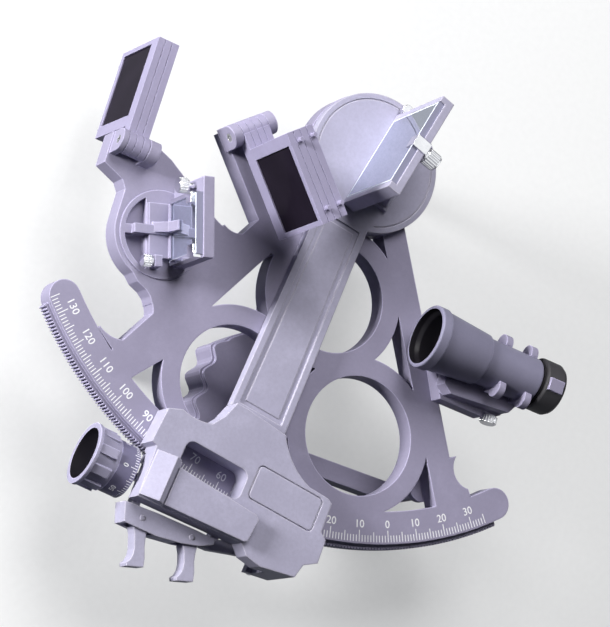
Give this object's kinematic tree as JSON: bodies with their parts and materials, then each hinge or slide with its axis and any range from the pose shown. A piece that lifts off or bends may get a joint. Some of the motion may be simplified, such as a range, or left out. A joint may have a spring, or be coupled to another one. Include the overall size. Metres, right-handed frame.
{
  "type": "marine sextant",
  "caption": "Plastic marine sextant with micrometer drum, folding shades, two mirrors and a short telescope.",
  "frame": {"origin": "middle of the bounding box in plan, on the plane the feet rest on", "axes": "+X along the line of sight towards the eye, +Y from the scale to the head of the frame, +Z out of the face"},
  "size_m": [0.2508, 0.2547, 0.1118],
  "materials": {
    "frame_plastic": "matte",
    "arm_plastic": "matte",
    "chrome_fittings": "polished",
    "mirror": "polished",
    "shade_glass": "polished",
    "lens_glass": "polished",
    "black_rubber": "matte",
    "black_plastic": "satin"
  },
  "bodies": {
    "frame_body": {"frame": "frame_plastic", "handle": "frame_plastic", "handle_screws": "chrome_fittings", "brace_bar": "frame_plastic", "leg_upper": "frame_plastic", "leg_left": "frame_plastic", "leg_right": "frame_plastic", "feet": "black_rubber", "horizon_mirror_base": "frame_plastic", "horizon_mirror_glass": "mirror", "horizon_mirror_clips": "chrome_fittings", "index_shade_pin": "chrome_fittings", "horizon_shade_pin": "chrome_fittings", "scope_bracket": "frame_plastic", "scope_tube": "frame_plastic", "objective_lens": "lens_glass"},
    "arm_body": {"index_arm": "arm_plastic", "arm_housing": "arm_plastic", "housing_keeper": "arm_plastic", "keeper_screws": "chrome_fittings", "worm_cover": "arm_plastic", "index_mirror_holder": "arm_plastic", "index_mirror_glass": "mirror", "index_mirror_clip": "chrome_fittings", "pivot_bolt": "chrome_fittings", "pivot_washer": "chrome_fittings", "pivot_nut": "chrome_fittings", "carrier_pin": "chrome_fittings", "release_spring": "chrome_fittings"},
    "carrier_body": {"worm_carrier": "frame_plastic", "lever_pins": "chrome_fittings"},
    "drum_body": {"worm_shaft": "chrome_fittings", "drum": "frame_plastic", "drum_dial": "black_plastic"},
    "lever_left_body": {"lever_left": "arm_plastic"},
    "lever_right_body": {"lever_right": "arm_plastic"},
    "eyepiece_body": {"eyepiece": "black_plastic", "eye_lens": "lens_glass", "eyecup": "black_rubber", "focus_key": "frame_plastic"},
    "clip_screw_body": {"index_clip_screw": "chrome_fittings"},
    "adjusting_screw_body": {"index_adjusting_screw": "chrome_fittings"},
    "horizon_upper_screw_body": {"horizon_screw_upper": "chrome_fittings"},
    "horizon_lower_screw_body": {"horizon_screw_lower": "chrome_fittings"},
    "scope_screw_body": {"scope_screw": "chrome_fittings"},
    "index_shade_1_body": {"index_shade_1": "frame_plastic", "index_filter_1": "shade_glass"},
    "index_shade_2_body": {"index_shade_2": "frame_plastic", "index_filter_2": "shade_glass"},
    "index_shade_3_body": {"index_shade_3": "frame_plastic", "index_filter_3": "shade_glass"},
    "index_shade_4_body": {"index_shade_4": "frame_plastic", "index_filter_4": "shade_glass"},
    "horizon_shade_1_body": {"horizon_shade_1": "frame_plastic", "horizon_filter_1": "shade_glass"},
    "horizon_shade_2_body": {"horizon_shade_2": "frame_plastic", "horizon_filter_2": "shade_glass"},
    "horizon_shade_3_body": {"horizon_shade_3": "frame_plastic", "horizon_filter_3": "shade_glass"}
  },
  "joints": [
    {"name": "index_arm_swing", "type": "hinge", "parent": "frame_body", "child": "arm_body", "pos_m": [0.007, 0.093, 0.062], "axis": [0, 0, 1], "range_deg": [-24, 34]},
    {"name": "worm_release", "type": "hinge", "parent": "arm_body", "child": "carrier_body", "pos_m": [0.00348, -0.09973, 0.062], "axis": [0, 0, 1], "range_deg": [0, 3.1]},
    {"name": "drum_turn", "type": "hinge", "parent": "carrier_body", "child": "drum_body", "pos_m": [-0.06571, -0.08667, 0.0566], "axis": [0.9976, -0.0698, 0], "continuous": true},
    {"name": "lever_left_squeeze", "type": "hinge", "parent": "carrier_body", "child": "lever_left_body", "pos_m": [-0.0554, -0.10549, 0.062], "axis": [0, 0, 1], "range_deg": [0, 12]},
    {"name": "lever_right_squeeze", "type": "hinge", "parent": "carrier_body", "child": "lever_right_body", "pos_m": [-0.03022, -0.10582, 0.062], "axis": [0, 0, 1], "range_deg": [-12.4, 0]},
    {"name": "index_shade_1_swing", "type": "hinge", "parent": "frame_body", "child": "index_shade_1_body", "pos_m": [-0.06108, 0.07922, 0.0685], "axis": [-0.7466, -0.6652, 0], "range_deg": [0, 177]},
    {"name": "index_shade_2_swing", "type": "hinge", "parent": "frame_body", "child": "index_shade_2_body", "pos_m": [-0.06108, 0.07922, 0.0685], "axis": [-0.7466, -0.6652, 0], "range_deg": [0, 177]},
    {"name": "index_shade_3_swing", "type": "hinge", "parent": "frame_body", "child": "index_shade_3_body", "pos_m": [-0.06108, 0.07922, 0.0685], "axis": [-0.7466, -0.6652, 0], "range_deg": [0, 177]},
    {"name": "index_shade_4_swing", "type": "hinge", "parent": "frame_body", "child": "index_shade_4_body", "pos_m": [-0.06108, 0.07922, 0.0685], "axis": [-0.7466, -0.6652, 0], "range_deg": [0, 177]},
    {"name": "horizon_shade_1_swing", "type": "hinge", "parent": "frame_body", "child": "horizon_shade_1_body", "pos_m": [-0.111, 0.0511, 0.0685], "axis": [1, 0, 0], "range_deg": [0, 177]},
    {"name": "horizon_shade_2_swing", "type": "hinge", "parent": "frame_body", "child": "horizon_shade_2_body", "pos_m": [-0.111, 0.0511, 0.0685], "axis": [1, 0, 0], "range_deg": [0, 177]},
    {"name": "horizon_shade_3_swing", "type": "hinge", "parent": "frame_body", "child": "horizon_shade_3_body", "pos_m": [-0.111, 0.0511, 0.0685], "axis": [1, 0, 0], "range_deg": [0, 177]},
    {"name": "eyepiece_focus", "type": "slide", "parent": "frame_body", "child": "eyepiece_body", "axis": [1, 0, 0], "range_m": [-0.0006, 0.004]},
    {"name": "index_clip_screw_turn", "type": "hinge", "parent": "arm_body", "child": "clip_screw_body", "pos_m": [0.01469, 0.0908, 0.105], "axis": [0.9613, -0.2756, 0], "range_deg": [-180, 180]},
    {"name": "index_adjusting_screw_turn", "type": "hinge", "parent": "arm_body", "child": "adjusting_screw_body", "pos_m": [0.01442, 0.1225, 0.067], "axis": [0, 0, 1], "range_deg": [-180, 180]},
    {"name": "horizon_upper_screw_turn", "type": "hinge", "parent": "frame_body", "child": "horizon_upper_screw_body", "pos_m": [-0.0864, 0.03837, 0.083], "axis": [-0.9563, -0.2924, 0], "range_deg": [-180, 180]},
    {"name": "horizon_lower_screw_turn", "type": "hinge", "parent": "frame_body", "child": "horizon_lower_screw_body", "pos_m": [-0.08564, 0.00509, 0.0666], "axis": [-0.9563, -0.2924, 0], "range_deg": [-180, 180]},
    {"name": "scope_screw_turn", "type": "hinge", "parent": "frame_body", "child": "scope_screw_body", "pos_m": [0.1005, -0.001, 0.0664], "axis": [0, -1, 0], "range_deg": [-180, 180]}
  ],
  "couplings": [
    {"joint": "lever_right_squeeze", "follows": "lever_left_squeeze", "ratio": -1},
    {"joint": "worm_release", "follows": "lever_left_squeeze", "ratio": 0.25}
  ]
}
